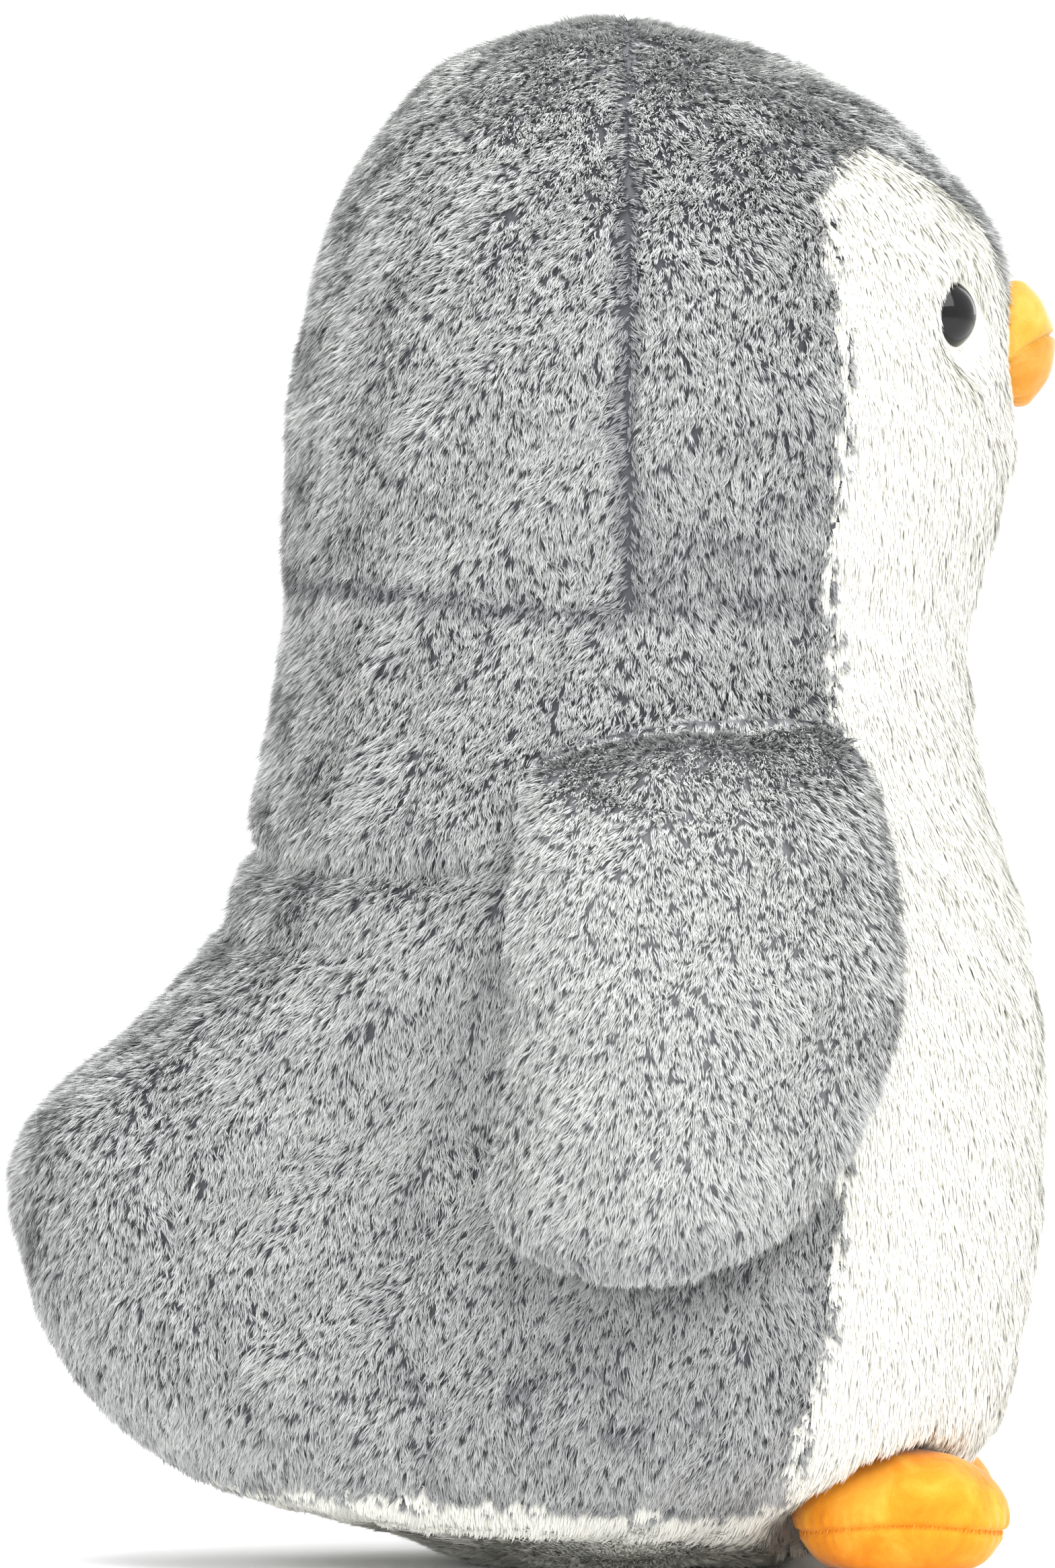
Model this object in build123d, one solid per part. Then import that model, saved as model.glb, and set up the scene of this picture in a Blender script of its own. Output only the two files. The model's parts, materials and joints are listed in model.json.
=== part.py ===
"""Standing plush penguin, sewn from pile-fabric panels over fibre stuffing. Millimetres.

+Z is up, the penguin faces -Y and its left side is +X. The origin is on the floor, under the middle of
the overall box. Every panel is a solid as thick as its fabric with the pile on it.
"""

import os
from math import cos, radians, sin

from build123d import *

# Overall sizes
HEIGHT = 508.0
HALF_DEPTH = 172.0  # from the middle to the beak's tip, and to the end of the tail
BODY_HALF_WIDTH = 130.0
HEAD_HALF_WIDTH = 118.0

# Fabrics
PLUSH = 8.0  # long-pile fabric with its pile
VELBOA = 2.5  # short-pile fabric of the beak and feet
POUCH_CLOTH = 1.0
GAP = 1.0  # between the body and what is sewn on and moves

# Flippers
FLIPPER_TOP = 279.0
FLIPPER_LENGTH = 184.0
FLIPPER_THICKNESS = 30.0
HINGE_STANDOFF = 10.0  # from the chord of the flipper's root out to its hinge line

# Feet
FOOT_LENGTH = 73.0
FOOT_WIDTH = 66.0
FOOT_HEIGHT = 42.5
FOOT_ROUND = 24.0  # half-height of the ellipsoid that the sole flattens
FOOT_SPREAD = 58.0  # from the middle of the body to the middle of a foot
FOOT_FRONT = 156.5  # how far the toes reach in front of the origin
FOOT_DROOP = 25.0  # degrees
SOLE_SEAM = 15.0

# Eyes
EYE_DIAMETER = 21.0
EYE_RISE = 6.0
EYE_HEIGHT = 406.0
EYE_ANGLE = 30.0  # degrees from straight ahead
SHANK_DIAMETER = 4.0
SHANK_LENGTH = 14.0
WASHER_DIAMETER = 15.0
WASHER_THICKNESS = 1.5

# Beak
BEAK_HALF_WIDTH = 25.0
BEAK_HALF_HEIGHT = 24.5
BEAK_HALF_LENGTH = 27.0
BEAK_HEIGHT = 398.0
MOUTH_LEVEL = 401.5  # of the seam between upper and lower, at the tip
MOUTH_SLOPE = 36.0  # degrees up towards the tip

# Pellet pouch
POUCH_RADIUS = 48.0
POUCH_THICKNESS = 26.0
POUCH_ROUND = 10.0

# Outline of the sewn body, from the floor up: level as a share of HEIGHT, front and back as shares of
# HALF_DEPTH, half-width as a share of BODY_HALF_WIDTH or HEAD_HALF_WIDTH, where it is widest, and how
# much the back narrows towards the tail.
BODY_OUTLINE = [
    (0.000, -0.49, 0.10, 0.42, -0.20, 0.00),
    (0.007, -0.55, 0.19, 0.53, -0.20, 0.00),
    (0.018, -0.60, 0.27, 0.62, -0.20, 0.00),
    (0.044, -0.72, 0.56, 0.78, -0.19, 0.05),
    (0.070, -0.86, 0.72, 0.89, -0.18, 0.12),
    (0.122, -0.93, 0.88, 0.97, -0.18, 0.20),
    (0.174, -0.965, 0.955, 1.00, -0.18, 0.26),
    (0.226, -0.985, 0.996, 1.00, -0.18, 0.28),
    (0.275, -0.99, 0.982, 1.00, -0.18, 0.28),
    (0.315, -0.99, 0.875, 1.00, -0.18, 0.22),
    (0.356, -0.98, 0.725, 0.99, -0.18, 0.12),
    (0.408, -0.955, 0.605, 0.98, -0.18, 0.04),
    (0.486, -0.89, 0.535, 0.93, -0.18, 0.00),
    (0.545, -0.85, 0.50, 0.88, -0.18, 0.00),
]
HEAD_OUTLINE = [
    (0.600, -0.842, 0.475, 0.94, -0.19, 0.00),
    (0.655, -0.89, 0.475, 0.97, -0.21, 0.00),
    (0.715, -0.935, 0.472, 1.00, -0.23, 0.00),
    (0.770, -0.93, 0.455, 1.00, -0.24, 0.00),
    (0.823, -0.925, 0.42, 0.96, -0.24, 0.00),
    (0.876, -0.86, 0.37, 0.87, -0.23, 0.00),
    (0.928, -0.71, 0.28, 0.70, -0.20, 0.00),
    (0.963, -0.54, 0.18, 0.51, -0.18, 0.00),
    (0.987, -0.36, 0.02, 0.29, -0.17, 0.00),
    (1.000, -0.20, -0.14, 0.06, -0.17, 0.00),
]

# Seams, as (y, z) in shares of HALF_DEPTH and HEIGHT, seen from the side
CROWN_SEAM = -0.185
NECK_SEAM = [
    (1.0, 0.640), (0.40, 0.631), (-0.16, 0.609), (-0.55, 0.611), (-0.76, 0.607), (-1.0, 0.607),
]
SIDE_SEAM = [
    (-0.06, 0.640), (-0.04, 0.530), (0.04, 0.440), (0.12, 0.330), (0.26, 0.185), (0.20, 0.110), (0.13, 0.0),
]
BELLY_SEAM = [
    (-0.58, 0.640), (-0.58, 0.400), (-0.58, 0.230), (-0.54, 0.130), (-0.50, 0.082), (-0.47, 0.0),
]
BASE_SEAM = [
    (1.0, 0.075), (0.64, 0.058), (0.25, 0.052), (-0.10, 0.046), (-0.45, 0.047), (-0.75, 0.075),
    (-1.0, 0.110),
]
FACE_SEAM = [
    (-0.55, 0.590), (-0.58, 0.700), (-0.59, 0.770), (-0.56, 0.850), (-0.56, 0.880), (-0.62, 0.905),
    (-0.80, 0.925),
]
# Half of the forehead gusset seen from the front: (x, z) in shares of HEAD_HALF_WIDTH and HEIGHT
GUSSET_SEAM = [(0.17, 0.800), (0.24, 0.838), (0.30, 0.868), (0.45, 0.905), (0.61, 0.925), (0.63, 1.010)]
TAIL_START = 0.58  # where the tail's stuffing meets the body's, as a share of HALF_DEPTH

# Flipper outline from its root down: share of its length, then front and rear edges as shares of
# HALF_DEPTH, and thickness as a share of FLIPPER_THICKNESS
FLIPPER_OUTLINE = [
    (0.00, -0.50, -0.14, 0.30),
    (0.04, -0.60, -0.01, 0.66),
    (0.13, -0.655, 0.03, 0.92),
    (0.25, -0.685, 0.045, 1.00),
    (0.42, -0.70, 0.055, 1.00),
    (0.58, -0.69, 0.055, 1.00),
    (0.74, -0.62, 0.085, 0.96),
    (0.86, -0.545, 0.095, 0.84),
    (0.95, -0.40, 0.02, 0.58),
    (1.00, -0.30, -0.15, 0.26),
]

# How finely sections are drawn, and small allowances
SECTION_POINTS = 14
PANEL_STEPS = 6
SEAM_ROOM = 0.2  # between a flipper's panels and its fill
FILL_SHARE = 0.5  # how much of the room between the panels the fill takes
FILL_INSET = 0.08  # how far the fill stays off the flipper's edges, as a share of its width
REACH = 400.0  # larger than any piece
POUCH_LIFT = 6.0  # stuffing under the pellet pouch

OUTLINE = [(*row[:3], row[3] * BODY_HALF_WIDTH, *row[4:]) for row in BODY_OUTLINE]
OUTLINE += [(*row[:3], row[3] * HEAD_HALF_WIDTH, *row[4:]) for row in HEAD_OUTLINE]


def station_at(level):
    """The outline's row at any level, blended from the rows below and above it."""
    for low, high in zip(OUTLINE, OUTLINE[1:]):
        if level <= high[0]:
            share = (level - low[0]) / (high[0] - low[0])
            return [a + (b - a) * share for a, b in zip(low, high)]
    return list(OUTLINE[-1])


def skin_point(station, turn, offset):
    """A point of one horizontal section, turned from the front (0) to the left (90) and back (180)."""
    _, front, back, wide, widest, narrowing = station
    middle = widest * HALF_DEPTH
    ahead = middle - front * HALF_DEPTH + offset
    behind = back * HALF_DEPTH - middle + offset
    along = cos(radians(turn))
    x = (wide + offset) * sin(radians(turn))
    if along < 0:
        x *= 1 - narrowing * 4 * -along * (1 + along)
        return x, middle - behind * along
    return x, middle - ahead * along


def skin(offset):
    """The sewn body's outer shape, grown or shrunk all round."""
    sections = []
    for station in OUTLINE:
        z = station[0] * (HEIGHT + 2 * offset) - offset
        turns = [360 * i / SECTION_POINTS for i in range(SECTION_POINTS)]
        points = [(*skin_point(station, turn, offset), z) for turn in turns]
        sections.append(make_face(Spline(*points, periodic=True)))
    return loft(sections)


def side_region(seam, closing):
    """A slab across the body whose side view runs along a seam and back round by the closing corners."""
    points = [Vector(0, y * HALF_DEPTH, z * HEIGHT) for y, z in seam]
    corners = [points[-1], *[Vector(0, y * HALF_DEPTH, z * HEIGHT) for y, z in closing], points[0]]
    outline = make_face([*Spline(*points).edges(), *Polyline(*corners).edges()])
    return extrude(outline, amount=REACH, dir=(1, 0, 0), both=True)


def half_space(x_side):
    """Everything on one side of the middle: 1 is the penguin's left, -1 its right."""
    return Pos(x_side * REACH, 0, HEIGHT / 2) * Box(2 * REACH, 4 * REACH, 2 * HEIGHT)


def seam_regions():
    """The slabs that cut the skin into panels."""
    low, high, far = -0.2, 1.3, 1.5
    crown = Pos(0, CROWN_SEAM * HALF_DEPTH + REACH, HEIGHT / 2) * Box(3 * REACH, 2 * REACH, 2 * HEIGHT)
    neck_seam = [(far, NECK_SEAM[0][1]), *NECK_SEAM, (-far, NECK_SEAM[-1][1])]
    head = side_region(neck_seam, [(-far, high), (far, high)])
    back = side_region([*SIDE_SEAM, (SIDE_SEAM[-1][0], low)], [(far, low), (far, SIDE_SEAM[0][1])])
    front = side_region([*BELLY_SEAM, (BELLY_SEAM[-1][0], low)], [(-far, low), (-far, BELLY_SEAM[0][1])])
    base_seam = [(far, BASE_SEAM[0][1]), *BASE_SEAM, (-far, BASE_SEAM[-1][1])]
    bottom = side_region(base_seam, [(-far, low), (far, low)])
    face = side_region([*FACE_SEAM, (-far, FACE_SEAM[-1][1])], [(-far, FACE_SEAM[0][1])])
    half = [Vector(x * HEAD_HALF_WIDTH, 0, z * HEIGHT) for x, z in GUSSET_SEAM]
    other = [Vector(-point.X, 0, point.Z) for point in half]
    edges = [*Spline(*half).edges(), *Spline(*other).edges()]
    edges += [Line(half[0], other[0]), Line(half[-1], other[-1])]
    gusset = extrude(make_face(edges), amount=REACH, dir=(0, -1, 0))
    return crown, head, back, front, bottom, face, gusset


def eye_frame(x_side):
    """Where an eye's flat back sits: on the face's backing cloth, looking out."""
    station = station_at(EYE_HEIGHT / HEIGHT)
    x, y = skin_point(station, EYE_ANGLE, 0)
    out = Vector(x_side * sin(radians(EYE_ANGLE)), -cos(radians(EYE_ANGLE)), 0)
    seat = Vector(x_side * x, y, EYE_HEIGHT) - out * (PLUSH - 1)
    return Plane(origin=seat, z_dir=out)


def eye_parts(x_side):
    """A domed eye with its shank, its lock washer, and the room that both take in the face and fill."""
    place = eye_frame(x_side)
    radius = EYE_DIAMETER / 2
    ball = (radius**2 + EYE_RISE**2) / (2 * EYE_RISE)
    dome = Pos(0, 0, EYE_RISE - ball) * Sphere(ball)
    dome &= Pos(0, 0, EYE_RISE / 2) * Cylinder(radius, EYE_RISE)
    shank = Pos(0, 0, -SHANK_LENGTH / 2) * Cylinder(SHANK_DIAMETER / 2, SHANK_LENGTH)
    washer = Pos(0, 0, -1 - WASHER_THICKNESS / 2) * Cylinder(WASHER_DIAMETER / 2, WASHER_THICKNESS)
    washer -= Pos(0, 0, -SHANK_LENGTH / 2) * Cylinder(SHANK_DIAMETER / 2, SHANK_LENGTH)
    opening = Pos(0, 0, PLUSH) * Cylinder(radius, 2 * PLUSH)
    room = opening + shank
    return place * (dome + shank), place * washer, place * room


def beak_parts(outer):
    """Upper and lower shells and the fill between them, all outside the face."""
    centre = Pos(0, BEAK_HALF_LENGTH - HALF_DEPTH, BEAK_HEIGHT)
    half_sizes = Vector(BEAK_HALF_WIDTH, BEAK_HALF_LENGTH, BEAK_HALF_HEIGHT)
    whole = centre * scale(Sphere(1), by=tuple(half_sizes)) - outer
    inner_sizes = tuple(size - VELBOA for size in half_sizes)
    fill = centre * scale(Sphere(1), by=inner_sizes) - outer
    shell = whole - fill
    mouth = Pos(0, -HALF_DEPTH, MOUTH_LEVEL) * Rot(-MOUTH_SLOPE, 0, 0) * Pos(0, 0, REACH)
    above = mouth * Box(2 * REACH, 2 * REACH, 2 * REACH)
    return shell & above, shell - above, fill


def foot_shape(x_side, inset, droop=0.0):
    """One foot: an ellipsoid pad with a flat bottom, turned down about its hinge."""
    pad = scale(Sphere(1), by=(FOOT_WIDTH / 2 - inset, FOOT_LENGTH / 2 - inset, FOOT_ROUND - inset))
    centre_y = FOOT_LENGTH / 2 - FOOT_FRONT
    centre_z = FOOT_HEIGHT - FOOT_ROUND
    pad = Pos(x_side * FOOT_SPREAD, centre_y, centre_z) * pad
    pad &= Pos(0, 0, inset + REACH) * Box(2 * REACH, 2 * REACH, 2 * REACH)
    hinge = foot_hinge(x_side)
    return Pos(*hinge) * Rot(droop, 0, 0) * Pos(*(-hinge)) * pad


def foot_hinge(x_side):
    """A point on the seam that a foot hangs from."""
    return Vector(x_side * FOOT_SPREAD, FOOT_LENGTH - FOOT_FRONT - FOOT_HEIGHT / 4, FOOT_HEIGHT / 2)


def foot_room(extra):
    """The dent that the feet and their travel need in the sewn body."""
    turns = [0.0, FOOT_DROOP / 3, FOOT_DROOP * 2 / 3, FOOT_DROOP]
    room = [foot_shape(side, -GAP - extra, turn) for side in (1, -1) for turn in turns]
    return Part() + room


def foot_parts(x_side):
    """Upper, sole and fill of one foot."""
    whole = foot_shape(x_side, 0)
    fill = foot_shape(x_side, VELBOA)
    shell = whole - fill
    above = Pos(0, 0, SOLE_SEAM + REACH) * Box(2 * REACH, 2 * REACH, 2 * REACH)
    return shell & above, shell - above, fill


def flipper_row(share, front, back, thick):
    """One level of a flipper: its height, its edges' turns, and how its seam and fabric lie there."""
    z = FLIPPER_TOP - share * FLIPPER_LENGTH
    station = station_at(z / HEIGHT)
    half = FLIPPER_THICKNESS * thick / 2
    seam = 2 * GAP + half
    core = max(half - PLUSH, half / 4)
    turns = (turn_at(station, front * HALF_DEPTH, seam), turn_at(station, back * HALF_DEPTH, seam))
    return z, station, turns, seam, half, core


def bent_curve(x_side, z, station, turns, seam, swell, steps):
    """Points from a flipper's front edge to its rear edge that swell away from its seam line."""
    points = []
    for i in range(steps + 1):
        angle = radians(180 * i / steps)
        turn = (turns[0] + turns[1]) / 2 - (turns[1] - turns[0]) / 2 * cos(angle)
        x, y = skin_point(station, turn, seam + swell * sin(angle))
        points.append(Vector(x_side * x, y, z))
    return points


def flipper_panel(x_side, facing):
    """The outer panel (facing 1) or the inner panel (facing -1): fabric between two swelling curves."""
    sections = []
    for row in reversed(FLIPPER_OUTLINE):
        z, station, turns, seam, half, core = flipper_row(*row)
        edge = seam + facing * SEAM_ROOM
        outside = bent_curve(x_side, z, station, turns, edge, facing * half, PANEL_STEPS)
        inside = bent_curve(x_side, z, station, turns, edge, facing * core, PANEL_STEPS)
        sections.append(make_face([*Spline(*outside).edges(), *Spline(*inside).edges()]))
    return loft(sections)


def flipper_fill(x_side):
    """The stuffing between a flipper's two panels."""
    sections = []
    for row in reversed(FLIPPER_OUTLINE[1:-1]):
        z, station, turns, seam, half, core = flipper_row(*row)
        inset = (turns[1] - turns[0]) * FILL_INSET
        turns = (turns[0] + inset, turns[1] - inset)
        front = bent_curve(x_side, z, station, turns, seam, core * FILL_SHARE, PANEL_STEPS)
        rear = bent_curve(x_side, z, station, turns, seam, -core * FILL_SHARE, PANEL_STEPS)
        sections.append(make_face([*Spline(*front).edges(), *Spline(*rear).edges()]))
    return loft(sections)


def turn_at(station, y, offset):
    """The turn at which a section's left side passes a given y."""
    low, high = 0.0, 180.0
    for _ in range(40):
        middle = (low + high) / 2
        if skin_point(station, middle, offset)[1] < y:
            low = middle
        else:
            high = middle
    return low


def flipper_hinge(x_side):
    """A point on the line that a flipper turns about, and its direction: lifting is a positive turn."""
    z, station, turns, seam, half, core = flipper_row(*FLIPPER_OUTLINE[0])
    front, rear = (Vector(*skin_point(station, turn, GAP), z) for turn in turns)
    along = (front - rear).normalized()
    out = Vector(-along.Y, along.X, 0)
    middle = (front + rear) / 2 + out * HINGE_STANDOFF
    return Vector(x_side * middle.X, middle.Y, z), Vector(along.X, x_side * along.Y, 0)


def pouch_parts():
    """A flat round cloth pouch low in the base, and the pellets in it."""
    middle = Pos(0, BODY_OUTLINE[0][4] * HALF_DEPTH, PLUSH + POUCH_LIFT + POUCH_THICKNESS / 2)
    whole = Cylinder(POUCH_RADIUS, POUCH_THICKNESS)
    whole = middle * fillet(whole.edges(), POUCH_ROUND)
    inner = Cylinder(POUCH_RADIUS - POUCH_CLOTH, POUCH_THICKNESS - 2 * POUCH_CLOTH)
    pellets = middle * fillet(inner.edges(), POUCH_ROUND - POUCH_CLOTH)
    return whole - pellets, pellets, whole


def main():
    os.makedirs("parts", exist_ok=True)
    parts = {}
    outer = skin(0)
    crown, head, back, front, bottom, face, gusset = seam_regions()
    for side, name in ((1, "left"), (-1, "right")):
        parts[f"eye_{name}"], parts[f"eye_washer_{name}"], room = eye_parts(side)
        foot = foot_parts(side)
        parts[f"foot_{name}_upper"], parts[f"foot_{name}_sole"], parts[f"foot_{name}_stuffing"] = foot
        parts[f"flipper_{name}_outer"] = flipper_panel(side, 1)
        parts[f"flipper_{name}_inner"] = flipper_panel(side, -1)
        parts[f"flipper_{name}_stuffing"] = flipper_fill(side)
        outer_cut = room if side == 1 else outer_cut + room
    parts["beak_upper"], parts["beak_lower"], parts["beak_stuffing"] = beak_parts(outer)
    parts["pellet_pouch"], parts["pellets"], pouch = pouch_parts()

    inner = skin(-PLUSH) - foot_room(PLUSH)
    shell = (outer - foot_room(0)) - inner
    washers = parts["eye_washer_left"] + parts["eye_washer_right"]
    inner = inner - outer_cut - washers - pouch
    shell = shell - outer_cut - washers
    left = half_space(1)

    head_shell = shell & head
    body_shell = shell - head
    head_back = head_shell & crown
    head_front = head_shell - crown
    parts["forehead_gusset"] = head_front & gusset
    head_front = head_front - gusset
    faces = head_front & face
    cheeks = head_front - face
    parts["base"] = body_shell & bottom
    body_shell = body_shell - bottom
    parts["belly"] = body_shell & front
    body_shell = body_shell - front
    backs = body_shell & back
    sides = body_shell - back
    for panel, pair in (("head_back", head_back), ("head_side", cheeks), ("face", faces),
                        ("body_back", backs), ("body_side", sides)):
        parts[f"{panel}_left"] = pair & left
        parts[f"{panel}_right"] = pair - left

    tail = Pos(0, TAIL_START * HALF_DEPTH + REACH, 0) * Box(3 * REACH, 2 * REACH, HEIGHT)
    parts["head_stuffing"] = inner & head
    body_fill = inner - head
    parts["tail_stuffing"] = body_fill & tail
    parts["body_stuffing"] = body_fill - tail

    for name, shape in parts.items():
        export_step(shape, f"parts/{name}.step")
        print(name, len(shape.solids()), round(shape.volume), shape.is_valid)
    for side, name in ((1, "left"), (-1, "right")):
        print("foot hinge", name, foot_hinge(side))
        print("flipper hinge", name, *flipper_hinge(side))
    total = Compound(children=[Part() + list(p.solids()) for p in parts.values()]).bounding_box()
    print("box", total.min, total.max)


main()
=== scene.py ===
"""A standing plush penguin: pile-fabric panels puffed over their fill, with real strands of pile,
a stitched velboa beak and feet, and domed eyes. Metres, in the frame of the CAD model."""
import json
from math import ceil, cos, pi, radians, sin, tan

import bmesh
import bpy
import numpy as np
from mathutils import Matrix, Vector
from mathutils.bvhtree import BVHTree


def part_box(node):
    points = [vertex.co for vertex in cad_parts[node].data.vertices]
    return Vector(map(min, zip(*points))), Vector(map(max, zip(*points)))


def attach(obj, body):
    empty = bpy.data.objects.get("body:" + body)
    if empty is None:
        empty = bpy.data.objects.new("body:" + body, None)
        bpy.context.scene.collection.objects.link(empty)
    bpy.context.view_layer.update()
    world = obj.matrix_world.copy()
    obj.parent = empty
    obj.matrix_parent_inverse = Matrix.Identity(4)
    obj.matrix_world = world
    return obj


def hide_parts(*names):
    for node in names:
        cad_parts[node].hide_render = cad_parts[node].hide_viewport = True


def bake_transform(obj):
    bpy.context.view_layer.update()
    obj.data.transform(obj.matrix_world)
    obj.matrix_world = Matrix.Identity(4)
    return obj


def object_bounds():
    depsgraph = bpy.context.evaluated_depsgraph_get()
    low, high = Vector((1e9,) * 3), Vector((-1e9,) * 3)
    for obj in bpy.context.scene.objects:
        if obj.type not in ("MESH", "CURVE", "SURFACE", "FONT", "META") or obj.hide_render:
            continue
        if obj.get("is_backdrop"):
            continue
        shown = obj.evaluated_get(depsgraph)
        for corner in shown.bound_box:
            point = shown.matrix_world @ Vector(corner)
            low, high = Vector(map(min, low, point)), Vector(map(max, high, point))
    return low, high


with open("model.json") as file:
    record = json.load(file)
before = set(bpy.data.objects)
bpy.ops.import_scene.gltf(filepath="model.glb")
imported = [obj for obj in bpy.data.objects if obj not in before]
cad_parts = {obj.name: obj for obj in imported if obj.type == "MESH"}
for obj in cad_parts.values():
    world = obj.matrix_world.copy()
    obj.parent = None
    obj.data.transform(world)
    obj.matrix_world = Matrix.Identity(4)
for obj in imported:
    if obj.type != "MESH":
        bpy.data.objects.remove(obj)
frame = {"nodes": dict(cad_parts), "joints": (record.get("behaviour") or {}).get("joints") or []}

MM = 0.001
cad_low, cad_high = (list(corner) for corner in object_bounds())

GREY_PANELS = ["head_back_left", "head_back_right", "head_side_left", "head_side_right", "forehead_gusset",
               "body_back_left", "body_back_right", "body_side_left", "body_side_right"]
IVORY_PANELS = ["face_left", "face_right", "belly", "base"]
PANELS = GREY_PANELS + IVORY_PANELS
BODY_FILLS = ["head_stuffing", "body_stuffing", "tail_stuffing", "pellet_pouch", "pellets"]


# ---------------------------------------------------------------- small helpers

def mesh_object(name, mesh):
    obj = bpy.data.objects.new(name, mesh)
    bpy.context.scene.collection.objects.link(obj)
    return obj


def mesh_from(name, points, *face_groups):
    """A mesh from numpy points and arrays of faces, where the faces of one array have one size."""
    mesh = bpy.data.meshes.new(name)
    mesh.vertices.add(len(points))
    mesh.vertices.foreach_set("co", np.asarray(points, np.float32).ravel())
    corners = np.concatenate([faces.ravel() for faces in face_groups]).astype(np.int32)
    sizes = np.concatenate([np.full(len(faces), faces.shape[1]) for faces in face_groups])
    mesh.loops.add(len(corners))
    mesh.loops.foreach_set("vertex_index", corners)
    mesh.polygons.add(len(sizes))
    mesh.polygons.foreach_set("loop_start", (np.cumsum(sizes) - sizes).astype(np.int32))
    mesh.update(calc_edges=True)
    return mesh


def shade_smooth(mesh):
    mesh.polygons.foreach_set("use_smooth", np.ones(len(mesh.polygons), bool))


def points_of(mesh):
    co = np.empty(len(mesh.vertices) * 3, np.float32)
    mesh.vertices.foreach_get("co", co)
    return co.reshape(-1, 3).astype(float)


def normals_of(mesh):
    no = np.empty(len(mesh.vertices) * 3, np.float32)
    mesh.vertex_normals.foreach_get("vector", no)
    return no.reshape(-1, 3).astype(float)


def set_points(mesh, points):
    mesh.vertices.foreach_set("co", np.asarray(points, np.float32).ravel())
    mesh.update()


def evaluated(obj):
    """The object's mesh with its modifiers applied, and the object gone."""
    graph = bpy.context.evaluated_depsgraph_get()
    mesh = bpy.data.meshes.new_from_object(obj.evaluated_get(graph))
    bpy.data.objects.remove(obj)
    return mesh


def unit(vectors):
    return vectors / np.maximum(np.linalg.norm(vectors, axis=-1, keepdims=True), 1e-12)


def bell(distance, width):
    """1 at no distance, falling smoothly towards 0 over the width."""
    return np.exp(-(distance / width) ** 2)


RIPPLES = 9


def waves(points, size, seed):
    """Smooth noise from about -1 to 1 with features of about the given size in metres."""
    source = np.random.default_rng(seed)
    total = np.zeros(len(points))
    for _ in range(RIPPLES):
        direction = source.normal(size=3)
        direction *= 2 * pi / size * source.uniform(0.6, 1.5) / np.linalg.norm(direction)
        total += np.sin(points @ direction + source.uniform(0, 2 * pi))
    return total * 2 / RIPPLES


def solid_from_nodes(name, nodes, voxel):
    """One closed skin round several CAD nodes."""
    work = bmesh.new()
    for node in nodes:
        work.from_mesh(frame["nodes"][node].data)
    mesh = bpy.data.meshes.new(name)
    work.to_mesh(mesh)
    work.free()
    obj = mesh_object(name, mesh)
    remesh = obj.modifiers.new("remesh", "REMESH")
    remesh.mode = "VOXEL"
    remesh.voxel_size = voxel
    mesh = evaluated(obj)
    keep_biggest_island(mesh)
    return mesh


def keep_biggest_island(mesh):
    """Deletes every loose bit of a mesh but the largest."""
    work = bmesh.new()
    work.from_mesh(mesh)
    left = set(work.verts)
    islands = []
    while left:
        stack = [left.pop()]
        island = set(stack)
        while stack:
            for edge in stack.pop().link_edges:
                for vert in edge.verts:
                    if vert in left:
                        left.discard(vert)
                        island.add(vert)
                        stack.append(vert)
        islands.append(island)
    biggest = max(islands, key=len)
    bmesh.ops.delete(work, geom=[v for v in work.verts if v not in biggest], context="VERTS")
    work.to_mesh(mesh)
    work.free()


def relax(mesh, rounds, share=0.5):
    """Moves each vertex towards the mean of its neighbours."""
    edges = np.empty(len(mesh.edges) * 2, np.int32)
    mesh.edges.foreach_get("vertices", edges)
    edges = edges.reshape(-1, 2)
    points = points_of(mesh)
    count = np.bincount(edges.ravel(), minlength=len(points))[:, None]
    for _ in range(rounds):
        total = np.zeros_like(points)
        np.add.at(total, edges[:, 0], points[edges[:, 1]])
        np.add.at(total, edges[:, 1], points[edges[:, 0]])
        points += (total / np.maximum(count, 1) - points) * share
    set_points(mesh, points)


CLOTH_SETTINGS = {"quality": 4, "mass": 0.2, "use_pressure": True, "vertex_group_mass": "held",
                  "pin_stiffness": 0.6, "tension_stiffness": 12, "compression_stiffness": 12,
                  "bending_stiffness": 0.4}
CLOTH_STEPS = 20
LEAST_HOLD = 0.02


def puff(mesh, held, cap, pressure=4.0):
    """Inflates a closed skin by cloth simulation, its seams held and no point moved further than cap."""
    start = points_of(mesh)
    obj = mesh_object("puffing", mesh)
    group = obj.vertex_groups.new(name="held")
    for index in np.nonzero(held > LEAST_HOLD)[0]:
        group.add([int(index)], float(held[index]), "REPLACE")
    cloth = obj.modifiers.new("cloth", "CLOTH")
    for key, value in CLOTH_SETTINGS.items():
        setattr(cloth.settings, key, value)
    cloth.settings.uniform_pressure_force = pressure
    cloth.settings.effector_weights.gravity = 0
    cloth.collision_settings.use_collision = False
    scene = bpy.context.scene
    for step in range(1, CLOTH_STEPS + 1):
        scene.frame_set(step)
    swollen = evaluated(obj)
    moved = points_of(swollen) - start
    length = np.linalg.norm(moved, axis=1, keepdims=True)
    moved *= np.minimum(1, cap / np.maximum(length, 1e-9))
    scene.frame_set(1)
    set_points(swollen, start + moved)
    relax(swollen, 2, 0.4)
    return swollen


def subdivided(mesh):
    obj = mesh_object("dividing", mesh)
    obj.modifiers.new("divide", "SUBSURF").levels = 1
    return evaluated(obj)


def surface_of(mesh):
    return BVHTree.FromPolygons([v.co for v in mesh.vertices], [p.vertices for p in mesh.polygons])


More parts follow.
